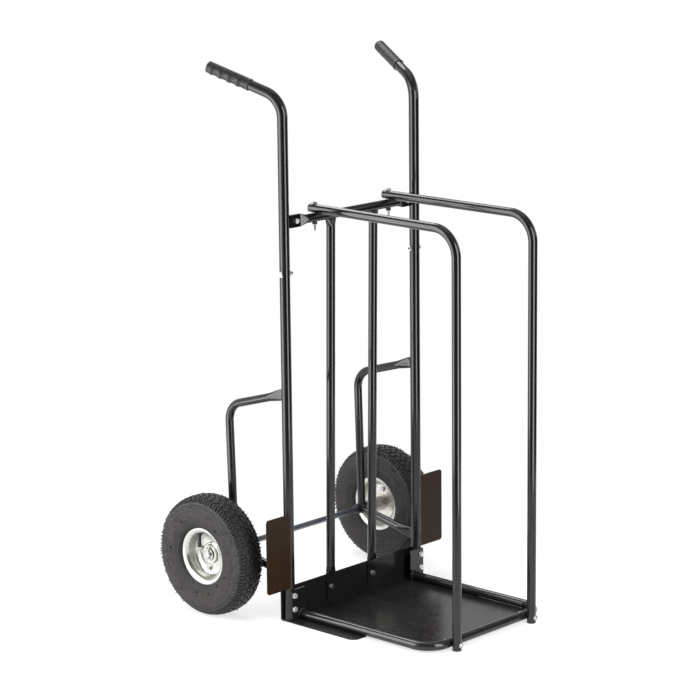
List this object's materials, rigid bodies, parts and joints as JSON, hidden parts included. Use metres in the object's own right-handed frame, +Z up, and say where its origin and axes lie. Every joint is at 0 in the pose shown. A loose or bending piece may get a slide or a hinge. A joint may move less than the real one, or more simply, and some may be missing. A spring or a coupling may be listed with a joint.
{
  "type": "fireside log cart",
  "caption": "Tubular steel sack barrow with pneumatic wheels, rubber grips, a toe plate and a bolt-on open basket for firewood logs.",
  "frame": {"origin": "on the ground under the toe plate, midway between the axes of the two uprights", "axes": "+Z up, +X along the axle, -Y towards the log basket's front posts, +Y towards the wheels and handles"},
  "size_m": [0.6216, 0.7029, 1.1799],
  "materials": {
    "frame_black": "gloss black powder coat on steel tube",
    "basket_black": "gloss black powder coat on steel tube and sheet",
    "grip_rubber": "matte dark grey, finely knurled",
    "cap_plastic": "satin black",
    "axle_steel": "blue-grey bright steel bar",
    "fastener_zinc": "bright zinc plate",
    "tyre_rubber": "matte black-brown rubber with a block tread",
    "tube_rubber": "smooth black rubber",
    "rim_zinc": "zinc plated pressed sheet, slightly yellow",
    "hub_zinc": "zinc plated turned steel",
    "bearing_steel": "ground bearing steel"
  },
  "bodies": {
    "barrow": {"upright_left": "frame_black", "upright_right": "frame_black", "handle_left": "frame_black", "handle_right": "frame_black", "grip_left": "grip_rubber", "grip_right": "grip_rubber", "brace_left": "frame_black", "brace_right": "frame_black", "strut_left": "frame_black", "strut_right": "frame_black", "sleeve_left": "frame_black", "sleeve_right": "frame_black", "guard_left": "frame_black", "guard_right": "frame_black", "toe_plate": "frame_black", "base_loop": "basket_black", "lug_left": "basket_black", "lug_right": "basket_black", "floor_tray": "basket_black", "hoop_left": "basket_black", "hoop_right": "basket_black", "hoop_caps": "cap_plastic", "hoop_feet": "cap_plastic", "cross_tube": "basket_black", "tab_left": "basket_black", "tab_right": "basket_black", "back_bar_left": "basket_black", "back_bar_right": "basket_black", "axle": "axle_steel", "axle_spacers": "fastener_zinc", "axle_washers": "fastener_zinc", "cotter_pins": "fastener_zinc", "joint_bolts": "fastener_zinc", "joint_nuts": "fastener_zinc", "tab_bolts": "fastener_zinc", "tab_nuts": "fastener_zinc", "hoop_bolts": "fastener_zinc", "hoop_nuts": "fastener_zinc", "lug_bolts": "fastener_zinc", "lug_nuts": "fastener_zinc", "foot_bolts": "fastener_zinc", "dome_nuts": "fastener_zinc", "bar_bolts": "fastener_zinc", "bar_nuts": "fastener_zinc"},
    "wheel_left": {"tyre_left": "tyre_rubber", "inner_tube_left": "tube_rubber", "rim_outer_left": "rim_zinc", "rim_inner_left": "rim_zinc", "hub_left": "hub_zinc", "bearings_left": "bearing_steel", "rim_bolts_left": "fastener_zinc"},
    "wheel_right": {"tyre_right": "tyre_rubber", "inner_tube_right": "tube_rubber", "rim_outer_right": "rim_zinc", "rim_inner_right": "rim_zinc", "hub_right": "hub_zinc", "bearings_right": "bearing_steel", "rim_bolts_right": "fastener_zinc"}
  },
  "joints": [
    {"name": "wheel_left_spin", "type": "hinge", "parent": "barrow", "child": "wheel_left", "pos_m": [-0.2728, 0.163, 0.13], "axis": [1, 0, 0], "continuous": true},
    {"name": "wheel_right_spin", "type": "hinge", "parent": "barrow", "child": "wheel_right", "pos_m": [0.2728, 0.163, 0.13], "axis": [1, 0, 0], "continuous": true}
  ]
}
